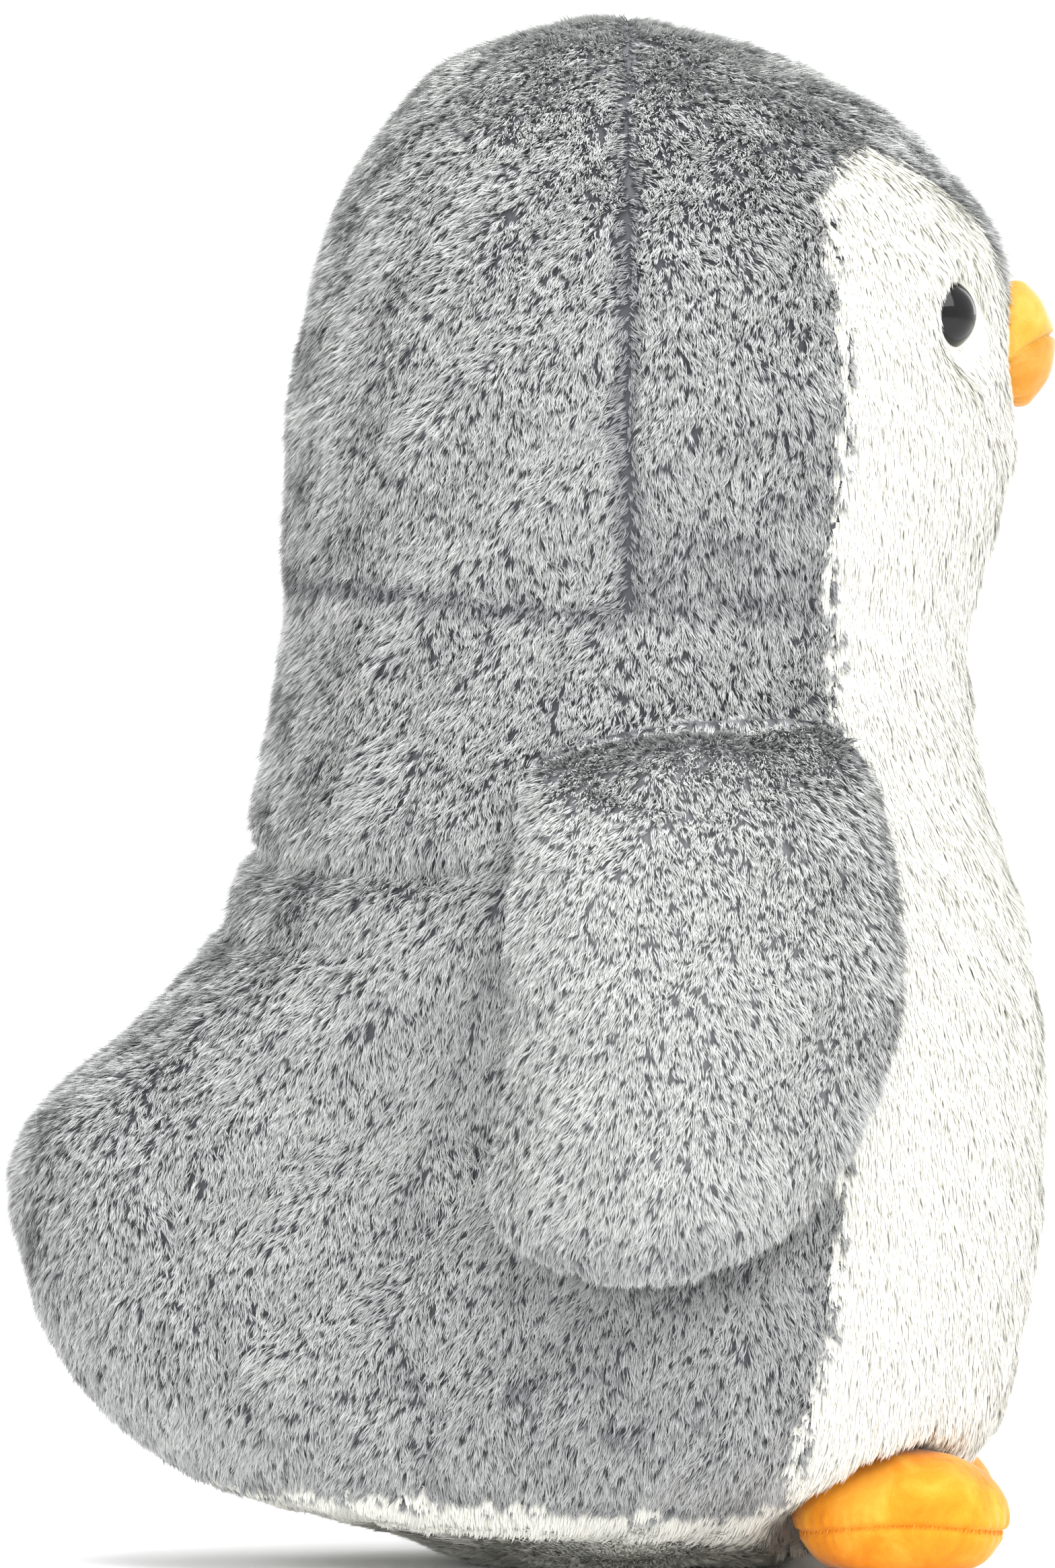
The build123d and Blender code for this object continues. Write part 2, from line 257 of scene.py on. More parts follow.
def nearest_to(points, nodes):
    """Vectors from the nearest point of each node to each point: an array of node by point by xyz."""
    result = np.empty((len(nodes), len(points), 3))
    for row, node in enumerate(nodes):
        tree = surface_of(frame["nodes"][node].data)
        for i, point in enumerate(points):
            result[row, i] = point - np.array(tree.find_nearest(Vector(point))[0])
    return result


# ---------------------------------------------------------------- materials

def new_material(name):
    material = bpy.data.materials.new(name)
    material.use_nodes = True
    tree = material.node_tree
    return material, tree, tree.nodes["Principled BSDF"]


def add(tree, kind, **values):
    node = tree.nodes.new(kind)
    for key, value in values.items():
        if key in node.inputs:
            node.inputs[key].default_value = value
        else:
            setattr(node, key, value)
    return node


def ramp(tree, stops):
    node = tree.nodes.new("ShaderNodeValToRGB")
    while len(node.color_ramp.elements) < len(stops):
        node.color_ramp.elements.new(0.5)
    for element, (place, colour) in zip(node.color_ramp.elements, stops):
        element.position = place
        element.color = (*colour, 1)
    return node


def set_inputs(node, values):
    for key, value in values.items():
        node.inputs[key].default_value = value


# A colour mix's sockets come after the mix node's sockets for numbers and vectors.
MIX_FIRST, MIX_SECOND, MIX_RESULT = 6, 7, 2


def mottle(tree, shader, stops, **values):
    """Colours a shader in soft patches, in the object's own space."""
    place = add(tree, "ShaderNodeTexCoord")
    noise = add(tree, "ShaderNodeTexNoise", **values)
    tone = ramp(tree, stops)
    tree.links.new(place.outputs["Object"], noise.inputs["Vector"])
    tree.links.new(noise.outputs["Fac"], tone.inputs[0])
    tree.links.new(tone.outputs[0], shader.inputs["Base Color"])


def pile_material(name, dark_stops, light_stops, rough, sheen):
    """Pile: colour runs from root to tip (V) and from dark to light strands (U)."""
    material, tree, shader = new_material(name)
    uv = add(tree, "ShaderNodeUVMap", uv_map="OFBake")
    split = add(tree, "ShaderNodeSeparateXYZ")
    tree.links.new(uv.outputs["UV"], split.inputs[0])
    dark, light = ramp(tree, dark_stops), ramp(tree, light_stops)
    tree.links.new(split.outputs["Y"], dark.inputs[0])
    tree.links.new(split.outputs["Y"], light.inputs[0])
    mix = add(tree, "ShaderNodeMix", data_type="RGBA")
    tree.links.new(split.outputs["X"], mix.inputs[0])
    tree.links.new(dark.outputs[0], mix.inputs[MIX_FIRST])
    tree.links.new(light.outputs[0], mix.inputs[MIX_SECOND])
    tree.links.new(mix.outputs[MIX_RESULT], shader.inputs["Base Color"])
    set_inputs(shader, {"Roughness": rough, "Sheen Weight": sheen, "Sheen Roughness": 0.5,
                        "Specular IOR Level": 0.2})
    return material


GRAIN_SHARE = 0.22


def velboa_material(name, deep, main, pale, size):
    """Short brushed pile: soft nap patches, a fine grain and a soft sheen."""
    material, tree, shader = new_material(name)
    place = add(tree, "ShaderNodeTexCoord")
    nap = add(tree, "ShaderNodeTexNoise", Scale=55.0 / size, Detail=3.0, Roughness=0.55, Distortion=0.6)
    grain = add(tree, "ShaderNodeTexNoise", Scale=1600.0, Detail=2.0)
    tone = ramp(tree, [(0.30, deep), (0.50, main), (0.72, pale)])
    tree.links.new(place.outputs["Object"], nap.inputs["Vector"])
    tree.links.new(place.outputs["Object"], grain.inputs["Vector"])
    mixed = add(tree, "ShaderNodeMath", operation="MULTIPLY_ADD")
    mixed.inputs[1].default_value = GRAIN_SHARE
    tree.links.new(grain.outputs["Fac"], mixed.inputs[0])
    shift = add(tree, "ShaderNodeMath", operation="SUBTRACT")
    shift.inputs[1].default_value = GRAIN_SHARE / 2
    tree.links.new(nap.outputs["Fac"], shift.inputs[0])
    tree.links.new(shift.outputs[0], mixed.inputs[2])
    tree.links.new(mixed.outputs[0], tone.inputs[0])
    tree.links.new(tone.outputs[0], shader.inputs["Base Color"])
    bump = add(tree, "ShaderNodeBump", Strength=0.25, Distance=0.0004)
    tree.links.new(grain.outputs["Fac"], bump.inputs["Height"])
    tree.links.new(bump.outputs[0], shader.inputs["Normal"])
    set_inputs(shader, {"Roughness": 0.82, "Sheen Weight": 0.35, "Sheen Roughness": 0.35,
                        "Specular IOR Level": 0.15})
    return material


def plastic_material(name, low, high, rough, coat):
    """A plain material with a faint mottle between two colours."""
    material, tree, shader = new_material(name)
    mottle(tree, shader, [(0.35, low), (0.65, high)], Scale=300.0, Detail=3.0)
    set_inputs(shader, {"Roughness": rough, "Specular IOR Level": 0.3, "Coat Weight": coat,
                        "Coat Roughness": 0.03})
    return material


GREY_PILE = pile_material(
    "grey_pile",
    [(0.0, (0.055, 0.058, 0.068)), (0.40, (0.12, 0.125, 0.14)),
     (0.75, (0.23, 0.235, 0.245)), (1.0, (0.34, 0.345, 0.35))],
    [(0.0, (0.12, 0.125, 0.135)), (0.35, (0.38, 0.385, 0.39)),
     (0.62, (0.60, 0.61, 0.60)), (1.0, (0.72, 0.73, 0.71))],
    0.75, 0.25)
IVORY_PILE = pile_material(
    "ivory_pile",
    [(0.0, (0.84, 0.83, 0.74)), (0.5, (0.86, 0.85, 0.78)), (1.0, (0.88, 0.875, 0.81))],
    [(0.0, (0.86, 0.85, 0.77)), (0.5, (0.88, 0.875, 0.81)), (1.0, (0.90, 0.90, 0.84))],
    0.8, 0.3)
ORANGE_VELBOA = velboa_material(
    "orange_velboa", (0.74, 0.22, 0.010), (0.86, 0.31, 0.018), (0.90, 0.42, 0.05), 1.0)
YELLOW_VELBOA = velboa_material(
    "yellow_velboa", (0.56, 0.27, 0.028), (0.62, 0.33, 0.045), (0.68, 0.40, 0.08), 0.6)
BEAK_ORANGE = velboa_material(
    "beak_orange_velboa", (0.54, 0.21, 0.022), (0.60, 0.26, 0.036), (0.66, 0.33, 0.07), 0.6)
THREAD = plastic_material("thread", (0.80, 0.30, 0.03), (0.88, 0.40, 0.06), 0.7, 0.0)
EYE_BLACK = plastic_material("eye_plastic", (0.002, 0.002, 0.003), (0.004, 0.004, 0.005), 0.10, 0.1)
WASHER = plastic_material("washer_plastic", (0.75, 0.75, 0.74), (0.82, 0.82, 0.80), 0.5, 0.0)
FIBRE = plastic_material("fibre_fill", (0.80, 0.80, 0.80), (0.93, 0.93, 0.93), 0.95, 0.0)
CLOTH = plastic_material("pouch_cloth", (0.80, 0.79, 0.76), (0.88, 0.87, 0.84), 0.9, 0.0)
PELLETS = plastic_material("pellet_plastic", (0.70, 0.70, 0.70), (0.85, 0.85, 0.85), 0.4, 0.0)


# ---------------------------------------------------------------- pile

STRANDS_PER_PIECE = 65000
TUFT_AREA = 2.0e-6
TUFT_STRANDS = 6
TUFT_RADIUS = 0.0012
ROOT_DEPTH = 0.0008
FLOOR_GAP = 0.0004
STRAND_V = [0.02, 0.02, 0.55, 0.55, 0.99]
STRAND_POINTS = len(STRAND_V)

GREY_LOOK = {"length": 0.0054, "lean": 54.0, "width": 0.00045, "gather": 0.5, "loose": 1.0, "stray": 1.0}
IVORY_LOOK = {"length": 0.0072, "lean": 76.0, "width": 0.0010, "gather": 0.95, "loose": 0.35, "stray": 0.25}
FLIPPER_LOOK = {**GREY_LOOK, "width": 0.0005, "loose": 0.8}


def skin_data(mesh, nodes):
    """What the pile needs to know of a skin: triangles, normals, and how far each node is."""
    mesh.calc_loop_triangles()
    triangles = np.empty(len(mesh.loop_triangles) * 3, np.int32)
    mesh.loop_triangles.foreach_get("vertices", triangles)
    points = points_of(mesh)
    return {"points": points, "normals": normals_of(mesh), "triangles": triangles.reshape(-1, 3),
            "away": nearest_to(points, nodes), "nodes": nodes}


def triangle_areas(skin):
    a, b, c = (skin["points"][skin["triangles"][:, i]] for i in range(3))
    return np.linalg.norm(np.cross(b - a, c - a), axis=1) / 2


def scatter(skin, count, source):
    """Random places on a skin: points, normals, the row of the node each belongs to, its distance to
    the seam, the way off the seam, and the row of the node across it."""
    area = triangle_areas(skin)
    chosen = np.searchsorted(np.cumsum(area) / area.sum(), source.random(count))
    u, v = source.random(count), source.random(count)
    over = u + v > 1
    u[over], v[over] = 1 - u[over], 1 - v[over]
    weights = np.stack([1 - u - v, u, v], 1)
    corners = skin["triangles"][chosen]
    points = (skin["points"][corners] * weights[:, :, None]).sum(1)
    normals = unit((skin["normals"][corners] * weights[:, :, None]).sum(1))
    away = (skin["away"][:, corners] * weights[None, :, :, None]).sum(2)
    distance = np.linalg.norm(away, axis=2)
    order = np.argsort(distance, axis=0)
    rows = np.arange(count)
    nearest = distance[order[0], rows]
    second = distance[order[1], rows]
    seam = np.sqrt(np.maximum(second**2 - nearest**2, 0))
    return points, normals, order[0], seam, away[order[1], rows], order[1]


def tangent(vectors, normals):
    return vectors - normals * (vectors * normals).sum(1, keepdims=True)


# How plainly the seam between two kinds of panel shows; the first line that fits counts.
SEAMS = [("head_back", "head_back", 0.35), ("body_back", "body_back", 0.35), ("head_back", "head_side", 1.0),
         ("head_back", "gusset", 1.0), ("head_back", "", 0.9), ("head_side", "body_side", 0.3),
         ("flipper", "flipper", 0.3), ("body_back", "body_side", 0.3), ("gusset", "head_side", 0.3)]
IVORY_SEAM, OTHER_SEAM = 0.1, 0.5


def seam_strength(node, other):
    if node in IVORY_PANELS:
        return IVORY_SEAM
    for first, second, strength in SEAMS:
        if first in node and second in other or first in other and second in node:
            return strength
    return OTHER_SEAM


def pile(skin, style, source):
    """Strands in tufts over a whole skin: points (strand by 5 by xyz), U, and each strand's node row."""
    count = int(triangle_areas(skin).sum() / TUFT_AREA)
    points, normals, owner, seam, off, other = scatter(skin, count, source)
    strengths = np.array([[seam_strength(a, b) for b in skin["nodes"]] for a in skin["nodes"]])
    strong = strengths[owner, other]
    look = style(points, owner, seam, strong)
    keep = source.random(count) < look["keep"]
    points, normals, owner = points[keep], normals[keep], owner[keep]
    seam, off, strong = seam[keep], off[keep], strong[keep]
    look = {key: value[keep] if isinstance(value, np.ndarray) else value for key, value in look.items()}
    lie, axis, length = lay_tufts(points, normals, seam, off, strong, look, source)
    strands = grow_strands(points, normals, lie, axis, length, look, source)
    tone = look["tone"][:, None] + source.normal(0, 0.15, (len(points), TUFT_STRANDS))
    strands = strands.reshape(-1, STRAND_POINTS, 3)
    return strands, np.clip(tone, 0.01, 0.99).ravel(), np.repeat(owner, TUFT_STRANDS)


def lay_tufts(points, normals, seam, off, strong, look, source):
    """The way each tuft lies along the cloth, the way it stands up from it, and its length."""
    count = len(points)
    fall = unit(tangent(look["fall"], normals))
    turn = 0.45 * waves(points, 0.03, 5) + 0.25 * waves(points, 0.007, 6) + source.normal(0, 0.2, count)
    turn = (turn * look["stray"])[:, None]
    lie = fall * np.cos(turn) + np.cross(normals, fall) * np.sin(turn)
    part = (strong * bell(seam, 0.004))[:, None]
    lie = unit(lie + 0.7 * part * unit(tangent(off, normals) + 1e-9) + look["push"])
    lean = look["lean"] + look["stray"] * (5 * waves(points, 0.011, 7) + source.normal(0, 5, count))
    lean = np.radians(lean)[:, None]
    axis = normals * np.cos(lean) + lie * np.sin(lean)
    length = (look["length"] * source.uniform(0.82, 1.15, count))[:, None]
    length *= 1 - 0.2 * (strong * bell(seam, 0.0025))[:, None]
    return lie, axis, length


def grow_strands(points, normals, lie, axis, length, look, source):
    """Each tuft's strands: rooted in a small disc, bowed, narrowing, and gathered towards their tips."""
    each = (len(points), TUFT_STRANDS)
    gather, loose, width = (np.reshape(look[key], (-1, 1, 1)) for key in ("gather", "loose", "width"))
    side = np.cross(normals, lie)
    radius = np.sqrt(source.random(each)) * TUFT_RADIUS
    angle = source.uniform(0, 2 * pi, each)
    ahead, aside = radius * np.cos(angle), radius * np.sin(angle)
    spread = ahead[..., None] * lie[:, None] + aside[..., None] * side[:, None]
    roots = points[:, None] + spread - normals[:, None] * ROOT_DEPTH
    own = length[:, None] * source.uniform(0.75, 1.1, (*each, 1))
    wild = source.normal(0, 0.10, (*each, 3)) * own * loose
    tips = points[:, None] + axis[:, None] * own + spread * gather + wild
    bow = normals[:, None] * own * source.uniform(0.08, 0.16, (*each, 1)) * loose
    middles = roots * 0.5 + tips * 0.5 + bow
    twist = source.normal(0, 0.22, (*each, 1)) * loose
    across = unit(side[:, None] * np.cos(twist) + normals[:, None] * np.sin(twist)) * width / 2
    narrow = across * 0.85
    strands = np.stack([roots - across, roots + across, middles - narrow, middles + narrow, tips], 2)
    strands[..., 2] = np.maximum(strands[..., 2], FLOOR_GAP)
    return strands


def pile_mesh(name, skin, faces, strands, tone, root_v=0.0):
    """One panel's piece: its backing cloth and its strands, with U for tone and V from root to tip."""
    used, packed = np.unique(faces, return_inverse=True)
    cloth = skin["points"][used]
    packed = packed.reshape(faces.shape)
    base = len(cloth)
    starts = base + STRAND_POINTS * np.arange(len(strands))[:, None]
    quads = starts + np.array([[0, 1, 3, 2]])
    peaks = starts + np.array([[2, 3, 4]])
    points = np.concatenate([cloth, strands.reshape(-1, 3)])
    mesh = mesh_from(name, points, packed, quads, peaks)
    v_of = np.concatenate([np.full(base, root_v), np.tile(STRAND_V, len(strands))])
    cloth_tone = np.clip(0.35 + 0.2 * waves(cloth, 0.01, 3), 0, 1)
    u_of = np.concatenate([cloth_tone, np.repeat(tone, STRAND_POINTS)])
    corners = np.concatenate([faces.ravel() for faces in (packed, quads, peaks)])
    layer = mesh.uv_layers.new(name="OFBake")
    layer.data.foreach_set("uv", np.stack([u_of[corners], v_of[corners]], 1).astype(np.float32).ravel())
    shade_smooth(mesh)
    return mesh


def panel_pieces(skin, grown, body, material_of, slot_of, ends=None, root_v=0.0):
    """Makes each panel's piece or pieces from the pile that belongs to it, attached to the body unless ends
    are given.
    """
    strands, tone, owner = grown
    face_away = np.linalg.norm(skin["away"][:, skin["triangles"]].mean(2), axis=2)
    face_owner = face_away.argmin(0)
    for row, node in enumerate(skin["nodes"]):
        own = np.nonzero(owner == row)[0]
        faces = skin["triangles"][face_owner == row]
        pieces = max(1, ceil(len(own) / STRANDS_PER_PIECE))
        for part in range(pieces):
            mine = own[part::pieces]
            cloth = faces if part == 0 else faces[:0]
            name = f"{node}_plush" if part == 0 else f"{node}_pile_{part + 1}"
            mesh = pile_mesh(name, skin, cloth, strands[mine], tone[mine], root_v)
            mesh.materials.append(material_of(node))
            piece = mesh_object(name, mesh)
            slot_of(node)
            if part == 0:
                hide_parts(node)
            if ends:
                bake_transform(piece)
            else:
                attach(piece, body)


# ---------------------------------------------------------------- body skin

IVORY_INSET, GREY_INSET = 2.4 * MM, 3.4 * MM


def seam_distance(away):
    """How far each point is along the cloth from the nearest seam, from its distances to the panels."""
    distance = np.sort(away, axis=0)
    return np.sqrt(np.maximum(distance[1] ** 2 - distance[0] ** 2, 0))


def body_skin():
    """The sewn skin over head, body and tail, puffed between its seams and held inside the pile's tips."""
    mesh = solid_from_nodes("body_skin", PANELS + BODY_FILLS, 5 * MM)
    relax(mesh, 6)
    away = np.linalg.norm(nearest_to(points_of(mesh), PANELS), axis=2)
    ivory = away[len(GREY_PANELS):].min(0) < away[:len(GREY_PANELS)].min(0)
    inset = np.where(ivory, IVORY_INSET, GREY_INSET)
    set_points(mesh, points_of(mesh) - normals_of(mesh) * inset[:, None])
    relax(mesh, 2)
    level = points_of(mesh)[:, 2]
    held = np.maximum(bell(seam_distance(away), 6 * MM), np.clip(1 - level / (12 * MM), 0, 1))
    mesh = puff(mesh, held, 4 * MM)
    mesh = subdivided(mesh)
    points, normals = points_of(mesh), normals_of(mesh)
    lumps = 0.9 * MM * waves(points, 0.05, 11) + 0.5 * MM * waves(points, 0.02, 12)
    points += normals * lumps[:, None]
    points += normals * creases(points)[:, None]
    points = seat_eyes(points)
    points[:, 2] = np.maximum(points[:, 2], 0.6 * MM)
    set_points(mesh, points)
    return mesh


WAIST_FOLD_Z, WAIST_FOLD_WIDTH = 233 * MM, 6 * MM
SECOND_FOLD_BELOW = 26 * MM
TAIL_FOLD_Y, TAIL_FOLD_WIDTH = 112 * MM, 4.5 * MM
TAIL_MIDDLE_Z, TAIL_REACH = 90 * MM, 90 * MM
TAIL_FOLDS = ((0, 2.4 * MM), (18 * MM, 1.5 * MM), (-24 * MM, 1.2 * MM))


def creases(points):
    """Folds that the stuffed cloth shows: round the waist at the back, and drawn in at the tail's root."""
    x, y, z = points.T
    waist = z - (WAIST_FOLD_Z + 0.006 * np.sin(x * 22) + 0.04 * (y - 0.05))
    fold = -5 * MM * bell(waist, WAIST_FOLD_WIDTH) * np.clip(y / 0.03, 0, 1)
    second = bell(waist + SECOND_FOLD_BELOW, WAIST_FOLD_WIDTH)
    fold -= 2.5 * MM * second * np.clip((y - 0.03) / 0.03, 0, 1)
    root = y - TAIL_FOLD_Y + 0.06 * ((z - 0.11) / 0.09) ** 2 - 0.004 * np.sin(z * 60)
    tail = np.clip(1 - np.abs(z - TAIL_MIDDLE_Z) / TAIL_REACH, 0, 1) ** 0.5
    for shift, depth in TAIL_FOLDS:
        fold -= depth * bell(root - shift, TAIL_FOLD_WIDTH) * tail
    return fold


EYE_TURN = radians(30.0)
EYE_RISE = 6 * MM
EYE_REACH = 50 * MM


def eye_frames():
    """Each eye's rim centre, the way it looks, and its radius, read from its CAD part."""
    frames = []
    for side, sign in (("left", 1), ("right", -1)):
        out = np.array([sign * sin(EYE_TURN), -cos(EYE_TURN), 0.0])
        points = points_of(frame["nodes"][f"eye_{side}"].data)
        reach = points @ out
        rim = points[reach > reach.max() - EYE_RISE - 0.0005]
        centre = (rim.min(0) + rim.max(0)) / 2
        centre += out * (reach.max() - EYE_RISE - centre @ out)
        frames.append((centre, out, (rim[:, 2].max() - rim[:, 2].min()) / 2))
    return frames


def around_eyes(points):
    """How far each point is outside the nearer eye's rim, and the way from that eye's middle to it."""
    best, way = np.full(len(points), 1.0), np.zeros((len(points), 3))
    for centre, out, radius in eye_frames():
        offset = points - centre
        offset -= np.outer(offset @ out, out)
        gap = np.linalg.norm(offset, axis=1) - radius
        gap = np.where(np.linalg.norm(points - centre, axis=1) < EYE_REACH, gap, 1.0)
        nearer = gap < best
        best[nearer], way[nearer] = gap[nearer], offset[nearer]
    return best, way


def seat_eyes(points):
    """Draws the skin in round each eye, as the eye's shank and washer pull it."""
    for centre, out, radius in eye_frames():
        offset = points - centre
        height = offset @ out
        across = np.linalg.norm(offset - np.outer(height, out), axis=1)
        near = np.linalg.norm(offset, axis=1) < EYE_REACH
        pull = np.clip(1 - (across - radius) / (12 * MM), 0, 1)
        pull = pull * pull * (3 - 2 * pull)
        extra = np.maximum(height + 0.0004, 0) * pull * near
        points -= np.outer(extra, out)
    return points


def pile_tone(points, seed, rough=0.0):
    """How light each tuft is: soft patches, and darker tufts in short streaks, more and darker as rough
    rises; callers raise rough for painted shade in the waist fold and under the flipper's curled lower edge,
    and low on the cheeks and hips.
    """
    tone = 0.70 + 0.07 * waves(points, 0.03, seed) + 0.05 * waves(points, 0.009, seed + 1)
    streaks = 0.62 * waves(points * [1, 1, 0.6], 0.0026, seed + 2) + 0.45 * waves(points, 0.020, seed + 3)
    return tone - (0.30 + 0.35 * rough) * np.clip((streaks - 0.70 + 0.50 * rough) / 0.35, 0, 1)


CROWN_Z, CROWN_DEPTH = 0.44, 0.05
CROWN_MIDDLE = np.array([0, -0.03, 0.45])
UNDERSIDE_DEPTH = 0.02
JOWL_Z, JOWL_DEPTH = 0.375, 0.05
HIP_Y, HIP_LENGTH = -0.02, 0.07
HIP_Z, HIP_DEPTH = 0.055, 0.045
WAIST_Z, WAIST_DEPTH = 0.235, 0.02
FACE_Y = -0.12


def crown_share(points):
    """0 below the crown of the head and 1 on top of it."""
    return np.clip((points[:, 2] - CROWN_Z) / CROWN_DEPTH, 0, 1)


def body_fall(points):
    """The way the pile is brushed: down, outward from the crown on top, and outward underneath."""
    fall = np.tile([0.0, 0.15, -1.0], (len(points), 1))
    outward = (points - CROWN_MIDDLE) * [1, 1, 0]
    crown = crown_share(points)[:, None]
    fall = fall * (1 - crown) + (outward * 12 + np.array([0, 0, -0.3])) * crown
    under = np.clip((UNDERSIDE_DEPTH - points[:, 2]) / UNDERSIDE_DEPTH, 0, 1)[:, None]
    return fall * (1 - under) + outward * 20 * under


def body_tone(points, owner, seam, strong):
    """Painted light makes the crown lighter, as it is lit from above; painted shade adds dark streaks in the
    waist fold at the back; darker, with more dark streaks, low on the cheeks and round the hips; dark along
    the seams.
    """
    _, y, z = points.T
    cheek = np.isin(owner, [PANELS.index("head_side_left"), PANELS.index("head_side_right")])
    jowl = cheek * np.clip((JOWL_Z - z) / JOWL_DEPTH, 0, 1)
    hip = bell(y - HIP_Y, HIP_LENGTH) * bell(z - HIP_Z, HIP_DEPTH)
    # painted shade: the waist term gives more dark streaks in the waist fold at the back, where creases()
    # draws the cloth in
    waist = bell(z - WAIST_Z, WAIST_DEPTH) * np.clip(y / 0.03, 0, 1)
    top = crown_share(points)
    # painted light: top, the crown, is made lighter as the light from above falls on it, and the seams are
    # drawn fainter there
    tone = pile_tone(points, 21, np.clip(jowl + 0.9 * hip + 0.5 * waist, 0, 1)) + 0.30 * top
    tone -= 0.16 * jowl * (1 + 0.7 * waves(points, 0.02, 25)) + 0.12 * hip
    ragged = 0.0028 * (1 + 0.5 * waves(points, 0.006, 22))
    wander = seam + 0.0012 * waves(points, 0.012, 26)
    return tone - 0.55 * strong * (1 - 0.8 * top) * bell(wander, ragged)


def beak_oval(points):
    """How far out each point is from the beak's middle, seen from the front: 1 at the beak's edge."""
    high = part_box("beak_upper")[1]
    middle_z = (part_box("beak_lower")[0][2] + high[2]) / 2
    return np.hypot(points[:, 0] / high[0], (points[:, 2] - middle_z) / (high[2] - middle_z))


def body_style(points, owner, seam, strong):
    """Pile on the body: mottled grey, and longer, flatter ivory, short round the eyes and the beak."""
    ivory = owner >= len(GREY_PANELS)
    look = {key: np.where(ivory, IVORY_LOOK[key], GREY_LOOK[key]) for key in GREY_LOOK}
    look["lean"] = look["lean"] + 10 * crown_share(points)
    rim, way = around_eyes(points)
    away = unit(way + 1e-9)
    over = np.clip(1 - 2.2 * np.clip(away[:, 1], 0, 1), -0.8, 1)
    look["push"] = away * (over * np.clip(1.4 - rim / 0.006, 0, 1.4))[:, None]
    oval = beak_oval(points)
    face = points[:, 1] < FACE_Y
    look["keep"] = np.where((rim < 0.0002) | (oval**2 < 0.9) & face, 0.0, 1.0)
    look["length"] = look["length"] * np.clip(0.5 + rim / 0.014, 0.5, 1.0)
    by_beak = 0.6 + 0.4 * np.clip((oval - 0.95) / 0.3, 0, 1)
    look["length"] = np.where(face, look["length"] * by_beak, look["length"])
    look["fall"] = body_fall(points)
    look["tone"] = np.clip(body_tone(points, owner, seam, strong), 0, 1)
    return look


def grow_body():
    mesh = body_skin()
    skin = skin_data(mesh, PANELS)
    grown = pile(skin, body_style, np.random.default_rng(31))
    panel_pieces(skin, grown, "penguin",
                 lambda node: IVORY_PILE if node in IVORY_PANELS else GREY_PILE,
                 lambda node: "ivory_plush" if node in IVORY_PANELS else "grey_plush")
    bpy.data.meshes.remove(mesh)


# ---------------------------------------------------------------- flippers

BEND_ABOVE, BEND_BELOW = 4 * MM, 76 * MM
FLIPPER_INSET = 2.4 * MM


def flipper_bend(side):
    """Where a flipper's bend starts, at its sewn top edge, and where it ends."""
    x, y, z = [joint for joint in frame["joints"] if joint["child"] == f"flipper_{side}"][0]["pos_m"]
    return (x, y, z + BEND_ABOVE), (x, y, z - BEND_BELOW)


def flipper_skin(side, nodes):
    """A flipper's sewn skin, puffed, with a channel by its shoulder, which slopes in to the body."""
    mesh = solid_from_nodes(f"flipper_{side}_skin", [*nodes, f"flipper_{side}_stuffing"], 3.5 * MM)
    relax(mesh, 5)
    set_points(mesh, points_of(mesh) - normals_of(mesh) * FLIPPER_INSET)
    seam = seam_distance(np.linalg.norm(nearest_to(points_of(mesh), nodes), axis=2))
    mesh = puff(mesh, bell(seam, 4 * MM), 2.5 * MM)
    points, normals = points_of(mesh), normals_of(mesh)
    top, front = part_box(nodes[0])[1][2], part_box(nodes[0])[0][1]
    channel = np.hypot((points[:, 1] - front - 68 * MM) / 0.03, (points[:, 2] - top + 18 * MM) / 0.012) - 1
    points -= normals * (2.2 * MM * np.exp(-12 * channel**2))[:, None]
    points += normals * (0.8 * MM * waves(points, 0.03, 41))[:, None]
    outward = np.sign(points[:, 0].mean())
    shoulder = np.clip((points[:, 2] - top + 0.035) / 0.035, 0, 1)
    points[:, 0] -= outward * 9 * MM * shoulder**2 * np.clip(normals[:, 0] * outward * 2, 0, 1)
    rear = np.clip((points[:, 1] - front - 0.055) / 0.05, 0, 1)
    points[:, 2] -= 9 * MM * shoulder * rear**2
    set_points(mesh, points)
    return mesh


def grow_flipper(side):
    nodes = [f"flipper_{side}_outer", f"flipper_{side}_inner"]
    mesh = flipper_skin(side, nodes)
    low, high = (np.array(corner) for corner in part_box(nodes[0]))
    middle = (low + high) / 2

    def style(points, owner, seam, strong):
        """Grey pile, with a painted highlight on the puffed middle of the flipper and painted shade along
        the outer panel's lower edge, which curls under; dark along its seam.
        """
        y, z = points[:, 1], points[:, 2]
        # painted shade: the outer panel's lower edge, which curls under, is painted darker and given more
        # dark streaks
        shaded_hem = np.clip((low[2] + 0.024 - z) / 0.014, 0, 1) * (owner == 0)
        # painted highlight: sheen makes the middle of the flipper lighter, where its puffed face catches the
        # light
        sheen = bell(y - middle[1], 0.045) * bell(z - middle[2], 0.07)
        tone = pile_tone(points, 51, shaded_hem) + 0.14 + 0.16 * sheen - 0.32 * shaded_hem
        tone += 0.12 * (owner == 1) - 0.15 * bell(seam, 0.0025)
        return {**FLIPPER_LOOK, "tone": np.clip(tone, 0, 1), "keep": np.ones(len(points)),
                "fall": np.tile([0.0, 0.1, -1.0], (len(points), 1)), "push": np.zeros((len(points), 3))}

    skin = skin_data(mesh, nodes)
    grown = pile(skin, style, np.random.default_rng(61))
    panel_pieces(skin, grown, f"flipper_{side}", lambda node: GREY_PILE, lambda node: "grey_plush",
                 flipper_bend(side), 0.3)
    bpy.data.meshes.remove(mesh)


# ---------------------------------------------------------------- feet and beak

